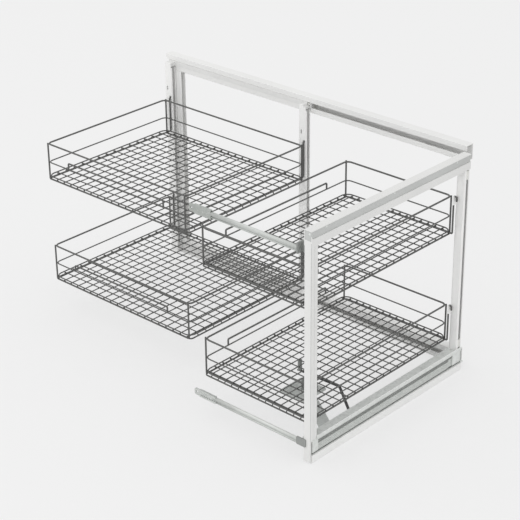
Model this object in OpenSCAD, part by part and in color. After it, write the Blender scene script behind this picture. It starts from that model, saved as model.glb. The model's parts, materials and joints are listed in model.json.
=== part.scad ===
// Corner cabinet pull-out: two front baskets on a swinging frame and two rear baskets on a
// sliding frame. Millimetres, +Z up, origin at the middle of the footprint on the cabinet floor.
// The unit stands in its stored position.

/* [Front baskets] */
// Width of a front basket between its corner posts
front_width = 298; // [270:1:320]
// Depth of a front basket between its corner posts
front_depth = 475; // [460:1:490]
// Number of floor wires that run along the width of a front basket
front_cross_wires = 18; // [10:1:20]
// Number of floor wires that run along the depth of a front basket
front_long_wires = 14; // [8:1:16]

/* [Rear baskets] */
// Width of a rear basket between its corner posts
rear_width = 462; // [430:1:470]
// Depth of a rear basket between its corner posts
rear_depth = 387; // [340:1:395]
// Number of floor wires that run along the width of a rear basket
rear_long_wires = 14; // [8:1:16]
// Number of floor wires that run along the depth of a rear basket
rear_cross_wires = 18; // [10:1:20]
// Clear width between the front and the rear baskets
basket_gap = 127; // [110:1:140]

/* [Basket wire] */
// Diameter of the rim wire
rim_wire = 4; // [3:0.5:5]
// Diameter of the middle rail wire
rail_wire = 3; // [2.5:0.5:4]
// Diameter of the ring wire round the floor
ring_wire = 3; // [2.5:0.5:4]
// Diameter of the cradle wires and the post frames
post_wire = 4; // [3.5:0.5:4.5]
// Diameter of the floor wires
floor_wire = 2.6; // [2:0.2:3]
// Corner radius of the rim wire
rim_radius = 12; // [10:1:14]
// Depth of a basket from its rim to the ring round its floor
basket_height = 80; // [70:1:90]
// Drop of the middle rail below the rim
rail_drop = 46; // [38:1:52]

/* [Levels] */
// Height of the rim of the upper baskets above the cabinet floor
upper_rim = 426.5; // [410:0.5:432]
// Height of the rim of the lower baskets above the cabinet floor
lower_rim = 164; // [160:0.5:190]

/* [Guide rails] */
// Height of the top face of the top guide rail
unit_height = 535; // [530:0.5:545]
// Height of the section of a guide rail
guide_height = 36.5; // [36:0.5:40]
// Depth of the section of a guide rail
guide_depth = 23; // [22:0.5:26]
// Height of the slot along a guide rail
guide_slot = 12; // [11:0.5:13]

/* [Front frame] */
// Width of the swinging frame
frame_width = 19.5; // [19:0.5:21]
// Thickness of the frame's sheet steel
sheet = 1.5; // [1.2:0.1:1.8]
// Diameter of the hinge shaft
shaft_diameter = 9; // [8:0.5:9.5]
// Thickness of the galvanised floor plate
plate_thickness = 2.5; // [2:0.5:3]
// Reach of the door arm bars
door_reach = 241; // [200:1:245]

/* [Hidden] */

// Layout: x = 0.5 is the hook side of the front baskets and y = -2.5 is their front side.
hook_side_x = 0.5;
front_y0 = -2.5;
front_y1 = front_y0 + front_depth;
front_x0 = hook_side_x - front_width;
rear_y1 = front_y1;
rear_y0 = rear_y1 - rear_depth;
rear_x1 = front_x0 - basket_gap;
rear_x0 = rear_x1 - rear_width;

// Wires seat on one another with a hair's gap, so each level follows from the wire diameters.
touch = 0.02;
rim_inset = (rim_wire + post_wire) / 2 + touch;
rail_inset = (rail_wire + post_wire) / 2 + touch;
ring_inset = 2;
corner_radius = rim_radius + rim_inset;
ring_level = -basket_height;
lower_layer = ring_level - (ring_wire + floor_wire) / 2 - touch;
upper_layer = lower_layer + floor_wire + touch;
cradle_level = ring_level - (ring_wire + post_wire) / 2 - touch;
frame_level = cradle_level - post_wire - touch;
post_top = rim_wire / 2;
wire_bend = 3;

// Posts stand on the rounded corners of the post line; the ring's corners just pass inside them.
post_inset = 7;
post_u = tenth_up(corner_radius - sqrt(pow(corner_radius, 2) - pow(corner_radius - post_inset, 2)));
cradle_inset = post_inset + post_wire + touch;
ring_gap = (ring_wire + post_wire) / 2 + touch;
ring_radius = tenth_up(corner_past(post_u - ring_inset, post_inset - ring_inset, ring_gap));

// Hooks: the wire rises outside the basket, turns over a flange and drops behind it.
hook_offset = 7;
hook_rise = 1.1;
hook_radius = 3.9;
hook_drop = 7;
slot_width = 6;
slot_height = 8;
slot_foot = hook_rise;
spare_slot_width = 4;
spare_slot_height = 11;
spare_slot_foot = 22;
spare_slot_inset = 8;
front_hook_ys = [front_y0 + cradle_inset, front_y1 - cradle_inset];
rear_hook_xs = [rear_x0 + cradle_inset, rear_x1 - cradle_inset];

// Swinging frame
frame_x0 = hook_side_x + 9;
frame_x1 = frame_x0 + frame_width;
frame_y0 = front_y0 - 22.5;
front_flange_y = front_y0 + 16;
rear_upright_y0 = front_y1 - 4.1;
rear_upright_y1 = rear_upright_y0 + 17.6;
frame_rail_y1 = rear_upright_y1 + 1;
hinge_x = frame_x0 + 12;
hinge_y = rear_upright_y1 - 8.6;
bore_clearance = 0.05;
frame_top = unit_height - 8.5;
rail_foot = frame_top - 34;
core_z0 = frame_top - 21.5;
skirt_top = frame_top - 17.5;
core_x1 = frame_x1 - sheet - 0.1;
plate_z0 = 53.5;
plate_z1 = plate_z0 + plate_thickness;
plate_x0 = frame_x0 - 4.5;
plate_x1 = frame_x1 + 0.5;
lip_x1 = plate_x1 + sheet;
lip_height = 8.5;

// Runner under the swinging frame
strip_x0 = frame_x0 - 4.5;
strip_x1 = strip_x0 + 23;
strip_height = 17.5;
runner_x0 = strip_x0 + 8;
runner_x1 = runner_x0 + 13;
runner_y0 = -20;
runner_length = 508;
runner_z0 = strip_height;
runner_height = 32;
runner_sheet = 1.2;

// Guide rails and posts behind the baskets
guide_y0 = rear_y1 + 26.5;
guide_y1 = guide_y0 + guide_depth;
guide_wall = 2;
strip_y1 = guide_y0 - 8;
guide_x0 = rear_hook_xs[0] - 26.7;
guide_x1 = hook_side_x + 7.5;
guide_top_z0 = unit_height - guide_height;
slot_z = (guide_height - guide_slot) / 2;

// Moving rear frame
rear_post_y0 = rear_y1 + 9.4;
rear_post_depth = 16;
rear_post_width = 23;
rear_post_z0 = 8;
rear_post_z1 = unit_height - 15;
rear_flange_z1 = rear_post_z1 - 12;
hook_to_edge = 16.7;
rear_left_x0 = rear_hook_xs[0] - hook_to_edge;
rear_right_x0 = rear_hook_xs[1] - hook_to_edge;
slide_x1 = rear_right_x0 + rear_post_width + 1.5;
slide_bar_y1 = rear_post_y0 + rear_post_depth + 9;
notch_x = slide_x1 - 7.3;
notch_foot = 3;
notch_width = 9;
slide_gap = 0.3;
glide_length = 40;

// Door arms
arm_plate = 3;
arm_y0 = frame_y0 - arm_plate;
arm_height = 14;
bracket_reach = 17.5;
arm_x1 = frame_x0 - bracket_reach;
arm_x0 = frame_x0 - door_reach;
sleeve_length = 67;
sleeve_height = 26;
sleeve_wall = 1.5;
sleeve_gap = 0.2;
sleeve_x1 = arm_x0 - 3.5;
sleeve_x0 = sleeve_x1 - sleeve_length;
sleeve_overlap = 14;
upper_arm_z = upper_rim + 55;
lower_arm_z = lower_rim - 118;

// Outrigger under the lower front basket
outrigger_z0 = 51;
outrigger_sheet = 2.4;
hub_z = outrigger_z0;
underside = lower_rim + cradle_level - post_wire / 2;
crank_breadth = 6;

// The footprint's middle, which is the origin of the model
shift_x = -(guide_x0 + lip_x1) / 2;
shift_y = -(arm_y0 - sleeve_wall - sleeve_gap + guide_y1) / 2;

// Wire colours
wire_grey = [0.36, 0.36, 0.36];
steel_white = [0.86, 0.86, 0.86];
zinc = [0.70, 0.71, 0.70];
black_steel = [0.13, 0.13, 0.14];
rail_grey = [0.72, 0.73, 0.72];
nylon = [0.80, 0.80, 0.78];

// ---------- helpers ----------

// Places everything that is laid out from the front basket's corner about the footprint's middle
module placed() {
    translate([shift_x, shift_y, 0]) children();
}

// Extrudes a (Y, Z) outline along X
module along_x(x0, x1) {
    translate([x0, 0, 0]) rotate([90, 0, 90]) linear_extrude(x1 - x0) children();
}

// Extrudes an (X, Z) outline along Y
module along_y(y0, y1) {
    translate([0, y1, 0]) rotate([90, 0, 0]) linear_extrude(y1 - y0) children();
}

// Extrudes an (X, Y) outline along Z
module along_z(z0, z1) {
    translate([0, 0, z0]) linear_extrude(z1 - z0) children();
}

// Rectangle from corner p to corner q with rounded corners
module rounded_outline(p, q, r) {
    translate([p[0] + r, p[1]]) square([q[0] - p[0] - 2 * r, q[1] - p[1]]);
    translate([p[0], p[1] + r]) square([q[0] - p[0], q[1] - p[1] - 2 * r]);
    for (x = [p[0] + r, q[0] - r], y = [p[1] + r, q[1] - r]) translate([x, y]) circle(r = r, $fn = 24);
}

// Folded channel from corner p to corner q; its mouth on the +X side keeps a lip at each end
module channel_outline(p, q, wall, lip) {
    bend = wall + 0.8;
    difference() {
        rounded_outline(p, q, bend);
        rounded_outline(p + [wall, wall], q - [wall, wall], bend - wall);
        translate([q[0] - 2 * wall - 1, p[1] + wall + lip])
            square([2 * wall + 2, q[1] - p[1] - 2 * (wall + lip)]);
    }
}

// Outline of an upright slot with round ends, centred on the line x = 0
module slot_outline(width, z0, height) {
    rounded_outline([-width / 2, z0], [width / 2, z0 + height], width / 2 - 0.01);
}

// Domed head of a rivet or a screw that stands on the z = 0 plane
module dome_head(d, h) {
    ball = (d * d / 4 + h * h) / (2 * h);
    intersection() {
        translate([0, 0, h - ball]) sphere(r = ball, $fn = 48);
        cylinder(d = d + 1, h = h + 1, $fn = 32);
    }
}

// ---------- bent wire ----------

function heading(a, b) = atan2(b[1] - a[1], b[0] - a[0]);
function turn_at(a, b, c) =
    let (t = heading(b, c) - heading(a, b)) t > 180 ? t - 360 : (t < -180 ? t + 360 : t);
function pull_back(a, b, c, r) = r * tan(abs(turn_at(a, b, c)) / 2);
function along(a, b, s) = a + (b - a) * s / norm(b - a);

// Straight round wire between two points of the XY plane
module straight(a, b, d) {
    if (norm(b - a) > 0.01)
        translate([a[0], a[1], 0]) rotate([0, 0, heading(a, b)]) rotate([0, 90, 0])
            cylinder(d = d, h = norm(b - a), $fn = 20);
}

// Bend of a wire at corner b of the line a-b-c
module bend(a, b, c, r, d) {
    turn = turn_at(a, b, c);
    side = turn > 0 ? 1 : -1;
    way = heading(a, b);
    start = along(b, a, pull_back(a, b, c, r));
    centre = start + r * side * [-sin(way), cos(way)];
    first = turn > 0 ? way - 90 : way + 90 + turn;
    translate([centre[0], centre[1], 0]) rotate([0, 0, first])
        rotate_extrude(angle = abs(turn), $fn = 48) translate([r, 0]) circle(d = d, $fn = 20);
}

// Open wire along the points of the XY plane, bent at radii[i] at each inner point
module open_wire(points, radii, d) {
    last = len(points) - 1;
    back = [for (i = [0 : last]) i == 0 || i == last ? 0
        : pull_back(points[i - 1], points[i], points[i + 1], radii[i])];
    for (i = [0 : last - 1])
        straight(along(points[i], points[i + 1], back[i]), along(points[i + 1], points[i], back[i + 1]), d);
    for (i = [1 : last - 1])
        bend(points[i - 1], points[i], points[i + 1], radii[i], d);
}

// Closed rectangular loop from corner p to corner q
module loop_wire(p, q, r, d) {
    corners = [p, [q[0], p[1]], q, [p[0], q[1]]];
    for (i = [0 : 3]) {
        a = corners[i];
        b = corners[(i + 1) % 4];
        c = corners[(i + 2) % 4];
        straight(along(a, b, r), along(b, a, r), d);
        bend(a, b, c, r, d);
    }
}

// ---------- basket wires ----------
// A basket is described in its own frame: u runs from the side away from the hooks to the hook side,
// v runs across it, and the rim lies at z = 0. The post line is [0, 0]..[length, breadth].

// Value rounded up to a tenth of a millimetre
function tenth_up(x) = ceil(10 * x) / 10;

// Radius of an arc, tangent to both sides of a corner, that keeps a gap inside the point (a, b)
function corner_past(a, b, gap) = let (s = a + b + gap) s + sqrt(s * s - a * a - b * b + gap * gap);

module basket_rim(length, breadth) {
    color(wire_grey)
        loop_wire([rim_inset, rim_inset], [length - rim_inset, breadth - rim_inset], rim_radius, rim_wire);
}

module basket_rails(length, breadth) {
    color(wire_grey) {
        translate([0, 0, -rail_drop])
            loop_wire([rail_inset, rail_inset], [length - rail_inset, breadth - rail_inset],
                corner_radius - rail_inset, rail_wire);
        translate([0, 0, ring_level])
            loop_wire([ring_inset, ring_inset], [length - ring_inset, breadth - ring_inset],
                ring_radius, ring_wire);
    }
}

// One wire under the floor at each side that rises outside the basket and turns over as a hook
module cradle_wire(length) {
    outer = length + hook_offset;
    top = hook_rise + hook_radius;
    open_wire(
        [[ring_inset - ring_wire / 2, cradle_level], [outer, cradle_level], [outer, top],
            [outer + 2 * hook_radius, top], [outer + 2 * hook_radius, hook_rise - hook_drop]],
        [0, wire_bend, hook_radius, hook_radius, 0], post_wire);
}

module basket_cradle(length, breadth) {
    color(wire_grey)
        for (v = [cradle_inset, breadth - cradle_inset])
            translate([0, v, 0]) rotate([90, 0, 0]) cradle_wire(length);
}

// Short rail above the middle rail on the far side, bent down onto the middle rail at both ends
module short_rail(breadth) {
    level = -31;
    end = 75;
    foot = -rail_drop + rail_wire / 2 + touch;
    translate([rail_inset, 0, 0]) rotate([90, 0, 90])
        open_wire([[end, foot], [end, level], [breadth - end, level], [breadth - end, foot]],
            [0, wire_bend, wire_bend, 0], post_wire);
}

// A U frame at each end: down a post, across under the cradle wires and up the other post
module basket_posts(length, breadth) {
    color(wire_grey) {
        for (u = [post_u, length - post_u])
            translate([u, 0, 0]) rotate([90, 0, 90])
                open_wire(
                    [[post_inset, post_top], [post_inset, frame_level],
                        [breadth - post_inset, frame_level], [breadth - post_inset, post_top]],
                    [0, wire_bend, wire_bend, 0], post_wire);
        short_rail(breadth);
    }
}

// Floor mesh: the lower wires pass under the ring, the upper wires end at its inner side
module basket_floor(length, breadth, cross_wires, long_wires) {
    pitch_v = (breadth - 2 * cradle_inset) / (cross_wires + 1);
    pitch_u = (length - 2 * ring_inset) / (long_wires + 1);
    end_u = ring_inset - ring_wire / 2;
    end_v = ring_inset + ring_wire / 2 + touch;
    color(wire_grey) {
        for (i = [1 : cross_wires])
            translate([end_u, cradle_inset + i * pitch_v, lower_layer]) rotate([0, 90, 0])
                cylinder(d = floor_wire, h = length - 2 * end_u, $fn = 20);
        for (i = [1 : long_wires])
            translate([ring_inset + i * pitch_u, end_v, upper_layer]) rotate([-90, 0, 0])
                cylinder(d = floor_wire, h = breadth - 2 * end_v, $fn = 20);
    }
}

// Front baskets hook toward +X; rear baskets hook toward +Y
module front_at(rim) {
    placed() translate([front_x0, front_y0, rim]) children();
}

module rear_at(rim) {
    placed() translate([rear_x1, rear_y0, rim]) rotate([0, 0, 90]) children();
}

// ---------- guide rails and runner ----------

// Guide rail outline in (Y, Z) with its slot toward -Y
module guide_outline(z0) {
    difference() {
        rounded_outline([guide_y0, z0], [guide_y1, z0 + guide_height], 1);
        translate([guide_y0 + guide_wall, z0 + guide_wall])
            square([guide_depth - 2 * guide_wall, guide_height - 2 * guide_wall]);
        translate([guide_y0 - 1, z0 + slot_z]) square([guide_wall + 2, guide_slot]);
    }
}

module guide_rail(z0) {
    color(steel_white) placed() difference() {
        along_x(guide_x0, guide_x1) guide_outline(z0);
        for (x = [guide_x0 + 60, guide_x1 - 60])
            translate([x, guide_y1 - guide_wall - 1, z0 + guide_height / 2]) rotate([-90, 0, 0])
                cylinder(d = 5, h = guide_wall + 2, $fn = 32);
    }
}

module guide_top() {
    guide_rail(guide_top_z0);
}

module guide_bottom() {
    guide_rail(0);
}

module guide_post(x0, x1) {
    color(steel_white) placed() difference() {
        along_z(guide_height, guide_top_z0)
            channel_outline([x0, guide_y0], [x1, guide_y0 + 16], sheet, 0);
        for (rim = [upper_rim, lower_rim]) along_y(guide_y0 - 1, guide_y0 + sheet + 1)
            translate([x0 + 5.5, 0])
                slot_outline(spare_slot_width, rim + spare_slot_foot, spare_slot_height);
    }
}

module guide_post_left() {
    guide_post(rear_x0 + 9.5, rear_x0 + 33.5);
}

module guide_post_right() {
    guide_post(guide_x1 - 22, guide_x1 - 2);
}

// Inverted channel on the cabinet floor, with two screw holes in its free ledge and a tab that meets
// the bottom guide rail
module base_strip() {
    ledge_x = strip_x0 + 4;
    color(steel_white) placed() difference() {
        union() {
            along_y(runner_y0, strip_y1) difference() {
                rounded_outline([strip_x0, -3], [strip_x1, strip_height], 1.2);
                translate([strip_x0 + sheet, -4])
                    square([strip_x1 - strip_x0 - 2 * sheet, strip_height + 4 - sheet]);
                translate([strip_x0 - 1, -4]) square([strip_x1 - strip_x0 + 2, 4]);
            }
            translate([strip_x0, strip_y1 - 2, 0]) cube([3, guide_y0 - strip_y1 + 2, 10]);
        }
        for (y = [runner_y0 + 35, runner_y0 + 460])
            translate([ledge_x, y, strip_height - sheet - 1]) cylinder(d = 4.4, h = sheet + 2, $fn = 32);
    }
}

// Outer, middle and inner members of the telescopic runner, each open toward +X
module member_outline(x0, x1, inset, lip) {
    z0 = runner_z0 + inset;
    z1 = runner_z0 + runner_height - inset;
    channel_outline([x0, z0], [x1, z1], runner_sheet, lip);
}

module runner_outer() {
    color(zinc) placed() along_y(runner_y0, runner_y0 + runner_length)
        member_outline(runner_x0, runner_x1, 0, 1.2);
}

module runner_middle() {
    color(zinc) placed() along_y(runner_y0, runner_y0 + runner_length - 2)
        member_outline(runner_x0 + 1.8, runner_x1 - 0.2, 3, 1.2);
}

// The inner member turns its closed side to the carriage
module runner_inner() {
    x1 = runner_x1 + 0.2;
    color(zinc) placed() along_y(runner_y0, runner_y0 + runner_length - 4)
        translate([x1, 0]) mirror([1, 0])
            channel_outline([0, runner_z0 + 6], [8, runner_z0 + runner_height - 6], runner_sheet, 0);
}

// Upright stop plate with a foot, at the back end of the runner
module runner_stop() {
    y0 = runner_y0 + runner_length;
    color(zinc) placed() along_x(strip_x0, strip_x1) {
        translate([y0, strip_height]) square([2, runner_height]);
        translate([y0 + 2, strip_height]) square([guide_y0 - y0 - 2, 2]);
    }
}

// Bracket that rises beside the runner and folds over its top
module carriage_bracket(y0, y1) {
    x0 = runner_x1 + 0.2;
    top = plate_z0 - 0.3;
    along_y(y0, y1) polygon([
        [x0, runner_z0 + 8], [x0 + 3, runner_z0 + 8], [x0 + 3, top], [runner_x0, top],
        [runner_x0, top - 3], [x0, top - 3]]);
}

module carriage_front() {
    color(zinc) placed() carriage_bracket(runner_y0, runner_y0 + 18);
}

module carriage_rear() {
    color(zinc) placed() carriage_bracket(hinge_y - 22, rear_upright_y1 - 2);
}

module hinge_shaft() {
    color(zinc) placed() translate([hinge_x, hinge_y, plate_z0 - 0.3])
        cylinder(d = shaft_diameter, h = 446, $fn = 48);
}

// ---------- swinging frame ----------

// Top rail: a cover over a deep groove toward +X, with a skirt below the groove. At its front end the
// skirt rises to the cover in a hollow curve.
module frame_top_rail() {
    a = frame_x0;
    b = frame_x1;
    t = sheet;
    rise = 6;
    color(steel_white) placed() {
        along_y(frame_y0, frame_rail_y1) polygon([
            [a, rail_foot], [a, frame_top], [b, frame_top], [b, frame_top - t], [a + t, frame_top - t],
            [a + t, core_z0], [b - t, core_z0], [b - t, skirt_top], [b, skirt_top], [b, rail_foot],
            [b - t, rail_foot], [b - t, core_z0 - t], [a + t, core_z0 - t], [a + t, rail_foot]]);
        along_x(b - t, b) difference() {
            translate([frame_y0, skirt_top - 0.5]) square([rise, rise + 0.5]);
            translate([frame_y0 + rise, skirt_top + rise]) circle(r = rise, $fn = 48);
        }
    }
}

// Box section that fills the groove of the top rail
module frame_rail_core() {
    x0 = frame_x0 + sheet + touch;
    z0 = core_z0 + touch;
    color(rail_grey) placed() along_y(frame_y0 + 0.5, frame_rail_y1 - 0.5)
        translate([x0, z0]) square([core_x1 - x0, frame_top - sheet - touch - z0]);
}

// Front upright: a U channel toward +Y whose web closes the top rail's end and runs down in front
// of the runner
module frame_front_upright() {
    a = frame_x0;
    b = frame_x1;
    t = sheet;
    foot = 2.5;
    color(steel_white) placed() difference() {
        union() {
            along_z(plate_z1, rail_foot) difference() {
                rounded_outline([a, frame_y0], [b, front_flange_y + 3], 2);
                translate([a + t, frame_y0 + t]) square([frame_width - 2 * t, 60]);
                translate([a - 1, front_flange_y]) square([frame_width + 2, 60]);
                translate([b - t - 0.5, frame_y0 + 18]) square([t + 2, 60]);
                translate([b - 0.5, frame_y0 + 7]) square([2, 3]);
            }
            translate([a + 0.01, frame_y0, foot]) cube([frame_width - 0.02, t, plate_z1 - foot]);
            translate([a + t, frame_y0, rail_foot]) cube([frame_width - 2 * t, t, core_z0 - t - rail_foot]);
        }
        for (rim = [upper_rim, lower_rim])
            along_x(a - 1, a + t + 1) translate([front_hook_ys[0], 0])
                slot_outline(slot_width, rim + slot_foot, slot_height);
    }
}

// Rear upright: a lipped C channel toward +X that encloses the hinge shaft, with an ear toward the
// baskets that is notched for each hook
module frame_rear_upright() {
    a = frame_x0;
    b = frame_x1;
    t = sheet;
    notch = 4.6;
    color(steel_white) placed() {
        along_z(plate_z1, rail_foot)
            channel_outline([a, rear_upright_y0], [b, rear_upright_y1], t, 3);
        for (rim = [upper_rim, lower_rim]) along_x(a, a + t) difference() {
            translate([front_hook_ys[1] - 6, rim - 14])
                square([rear_upright_y0 + 3 - front_hook_ys[1] + 6, 20]);
            translate([front_hook_ys[1], 0]) slot_outline(notch, rim + slot_foot, slot_height);
        }
    }
}

// Flat plate under the uprights with the bore for the shaft
module frame_floor_plate() {
    color(zinc) placed() difference() {
        along_z(plate_z0, plate_z1)
            rounded_outline([plate_x0, frame_y0 + sheet], [plate_x1, rear_upright_y1 + 1.5], 0.6);
        translate([hinge_x, hinge_y, plate_z0 - 1])
            cylinder(d = shaft_diameter + 2 * bore_clearance, h = plate_thickness + 2, $fn = 48);
    }
}

// Upright lip along the outer edge of the floor plate
module frame_floor_lip() {
    color(steel_white) placed() along_y(front_y0 - 5.5, rear_upright_y1 - 1.5)
        translate([plate_x1, plate_z0]) square([lip_x1 - plate_x1, lip_height]);
}

// Block that fills the rear upright's channel and carries the shaft; its corners clear the folds
module hinge_bush(z0) {
    seat = sheet + touch;
    height = 20;
    color(nylon) placed() difference() {
        along_z(z0, z0 + height)
            rounded_outline([frame_x0 + seat, rear_upright_y0 + seat],
                [frame_x1 - seat, rear_upright_y1 - seat], 1.5);
        translate([hinge_x, hinge_y, z0 - 1])
            cylinder(d = shaft_diameter + 2 * bore_clearance, h = height + 2, $fn = 48);
    }
}

module hinge_bush_lower() {
    hinge_bush(plate_z1 + 6);
}

module hinge_bush_upper() {
    hinge_bush(plate_z0 + 416);
}

// Domed heads on the rail's core, along its side and on its front end
module frame_rivets() {
    head = 5;
    rise = 1.2;
    color(zinc) placed() {
        for (y = [45, 255, 465])
            translate([core_x1, frame_y0 + y, frame_top - 5]) rotate([0, 90, 0]) dome_head(head, rise);
        translate([core_x1 - 4.4, frame_y0 + 0.5, frame_top - 7.5]) rotate([90, 0, 0])
            dome_head(head, rise);
    }
}

// ---------- outrigger ----------

function hub_corner() = [hook_side_x - 157.5, front_y0 + 88.5];

module outrigger_hub() {
    p = hub_corner();
    color(zinc) placed() along_z(hub_z, hub_z + outrigger_sheet) rounded_outline(p, p + [72, 73], 5);
}

// Strap from the floor plate to the hub plate, cut flush at the hub's side
module outrigger_arm() {
    p = hub_corner();
    color(zinc) placed() along_z(hub_z, hub_z + outrigger_sheet) difference() {
        strap_outline([[plate_x0 + 16, front_y0 + 38], p + [60, 27.5]], 28);
        translate([p[0], p[1]]) square([72.02, 73]);
    }
}

// Cranked strap from the floor plate to just past the far stud
far_stud = [hook_side_x - 181.5, front_y0 + 182.5];
crank_line = [
    [plate_x0 + 16, front_y0 + 114], [hook_side_x - 66, front_y0 + 182.5],
    [hook_side_x - 73, front_y0 + 187], far_stud - [6, 0.2]];

function side_of(a, b) = [a[1] - b[1], b[0] - a[0]] / norm(b - a);
function mitre(a, b, c, half) = let (n = side_of(a, b), m = n + side_of(b, c)) b + m * half / (m * n);
function edge_point(line, i, half) =
    i == 0 ? line[0] + half * side_of(line[0], line[1])
    : i == len(line) - 1 ? line[i] + half * side_of(line[i - 1], line[i])
    : mitre(line[i - 1], line[i], line[i + 1], half);

// Outline of a strap of even breadth along a line of points
module strap_outline(line, breadth) {
    last = len(line) - 1;
    polygon(concat(
        [for (i = [0 : last]) edge_point(line, i, breadth / 2)],
        [for (i = [last : -1 : 0]) edge_point(line, i, -breadth / 2)]));
}

module outrigger_crank() {
    color(black_steel) placed() along_z(hub_z, hub_z + outrigger_sheet)
        strap_outline(crank_line, crank_breadth);
}

module outrigger_studs() {
    z0 = hub_z + outrigger_sheet;
    color(black_steel) placed()
        for (p = [hub_corner() + [36, 38], far_stud])
            translate([p[0], p[1], z0]) cylinder(d = 10, h = underside - z0, $fn = 32);
}

// ---------- door arms ----------

module door_arm(z) {
    color(zinc) placed()
        translate([arm_x0, arm_y0, z - arm_height / 2])
            cube([arm_x1 - arm_x0, arm_plate, arm_height]);
}

// Flat sleeve that takes the end of the bar and ends in an eye plate for the door
module door_sleeve(z) {
    half = sleeve_height / 2;
    w = sleeve_wall;
    eye_x = sleeve_x0 + 9;
    color(zinc) placed() difference() {
        union() {
            along_x(sleeve_x0 + 18, sleeve_x1 + sleeve_overlap)
                rounded_outline([arm_y0 - w - sleeve_gap, z - half],
                    [arm_y0 + arm_plate + w + sleeve_gap, z + half], 1.2);
            along_y(arm_y0, arm_y0 + arm_plate)
                rounded_outline([sleeve_x0 - 7, z - half], [sleeve_x0 + 18, z + half], 4);
        }
        translate([sleeve_x1 - 30, arm_y0, z - arm_height / 2])
            cube([60, arm_plate, arm_height]);
        translate([eye_x, arm_y0 - 1, z]) rotate([-90, 0, 0]) cylinder(d = 6.4, h = arm_plate + 2, $fn = 32);
    }
}

// Cranked plate that joins the upper bar to the side of the front upright
module door_bracket_upper() {
    z = upper_arm_z;
    t = arm_plate;
    y1 = arm_y0 + 18;
    color(black_steel) placed() along_z(z - 12, z + 12) polygon([
        [arm_x1, arm_y0], [arm_x1 + t, arm_y0], [arm_x1 + t, y1 - t],
        [frame_x0, y1 - t], [frame_x0, y1], [arm_x1, y1]]);
}

// Flat plate that joins the lower bar to the front of the web, clear of the carriage
module door_bracket_lower() {
    z = lower_arm_z;
    color(black_steel) placed() along_y(arm_y0, arm_y0 + arm_plate)
        rounded_outline([arm_x1, z - 9], [frame_x0 + 7, z + 9], 2);
}

module door_arm_upper() {
    door_arm(upper_arm_z);
}

module door_arm_lower() {
    door_arm(lower_arm_z);
}

module door_sleeve_upper() {
    door_sleeve(upper_arm_z);
}

module door_sleeve_lower() {
    door_sleeve(lower_arm_z);
}

// ---------- moving rear frame ----------

// Upright: a lipped C channel toward +X whose web runs on above its flanges to the slide bar; the web
// has a slot for each basket's hook and a spare slot above it
module rear_upright(x0, hook_x) {
    x1 = x0 + rear_post_width;
    y0 = rear_post_y0;
    color(steel_white) placed() difference() {
        union() {
            along_z(rear_post_z0, rear_flange_z1)
                channel_outline([x0, y0], [x1, y0 + rear_post_depth], sheet, 2);
            translate([x0 + 2.3, y0, rear_flange_z1 - 1])
                cube([rear_post_width - 4.6, sheet, rear_post_z1 - rear_flange_z1 + 1]);
        }
        notch_cut(guide_top_z0);
        for (rim = [upper_rim, lower_rim]) along_y(y0 - 1, y0 + sheet + 1) {
            translate([hook_x, 0]) slot_outline(slot_width, rim + slot_foot, slot_height);
            translate([x0 + spare_slot_inset, 0])
                slot_outline(spare_slot_width, rim + spare_slot_foot, spare_slot_height);
        }
    }
}

module rear_upright_left() {
    rear_upright(rear_left_x0, rear_hook_xs[0]);
}

module rear_upright_right() {
    rear_upright(rear_right_x0, rear_hook_xs[1]);
}

// Upright U notch near the right end of a slide bar, through the bar and the web in front of it
module notch_cut(z0) {
    along_y(rear_post_y0 - 1, rear_post_y0 + rear_post_depth + 20) translate([notch_x, 0])
        slot_outline(notch_width, z0 + slot_z + slide_gap + notch_foot, 30);
}

// Bar that slides in the slot of a guide rail; the top one has a block to the web of each upright
module rear_slide(z0, web_top) {
    bottom = z0 + slot_z + slide_gap;
    top = z0 + slot_z + guide_slot - slide_gap;
    bar_y0 = rear_post_y0 + rear_post_depth;
    color(steel_white) placed() difference() {
        union() {
            translate([rear_left_x0, bar_y0, bottom])
                cube([slide_x1 - rear_left_x0, slide_bar_y1 - bar_y0, top - bottom]);
            if (web_top)
                for (x = [rear_left_x0, rear_right_x0])
                    translate([x + 2.3, rear_post_y0 + sheet, bottom])
                        cube([rear_post_width - 4.6, bar_y0 - rear_post_y0, rear_post_z1 - bottom]);
        }
        notch_cut(z0);
    }
}

module rear_slide_top() {
    rear_slide(guide_top_z0, true);
}

module rear_slide_bottom() {
    rear_slide(0, false);
}

// Nylon blocks inside the guide rails, seated on the slide bars; the right ones fill the bars' notches
// with a round boss
module rear_glides() {
    y0 = guide_y0 + guide_wall + slide_gap;
    y1 = guide_y1 - guide_wall - slide_gap;
    bar_y0 = rear_post_y0 + rear_post_depth;
    boss_z = slot_z + slide_gap + notch_foot + notch_width / 2;
    color(nylon) placed() for (z0 = [0, guide_top_z0]) {
        for (x = [rear_left_x0 + 24, rear_right_x0 + rear_post_width - glide_length]) difference() {
            along_x(x, x + glide_length)
                rounded_outline([y0, z0 + guide_wall + slide_gap],
                    [y1, z0 + guide_height - guide_wall - slide_gap], 1.2);
            translate([x - 1, y0 - 1, z0 + slot_z + slide_gap])
                cube([glide_length + 2, slide_bar_y1 - y0 + 1, guide_slot - 2 * slide_gap]);
        }
        translate([notch_x, bar_y0, z0 + boss_z]) rotate([-90, 0, 0])
            cylinder(d = 5.5, h = slide_bar_y1 - bar_y0 + 1, $fn = 32);
    }
}

// ---------- baskets ----------

module front_upper_rim() {
    front_at(upper_rim) basket_rim(front_width, front_depth);
}

module front_upper_rails() {
    front_at(upper_rim) basket_rails(front_width, front_depth);
}

module front_upper_posts() {
    front_at(upper_rim) basket_posts(front_width, front_depth);
}

module front_upper_cradle() {
    front_at(upper_rim) basket_cradle(front_width, front_depth);
}

module front_upper_floor() {
    front_at(upper_rim) basket_floor(front_width, front_depth, front_cross_wires, front_long_wires);
}

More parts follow.
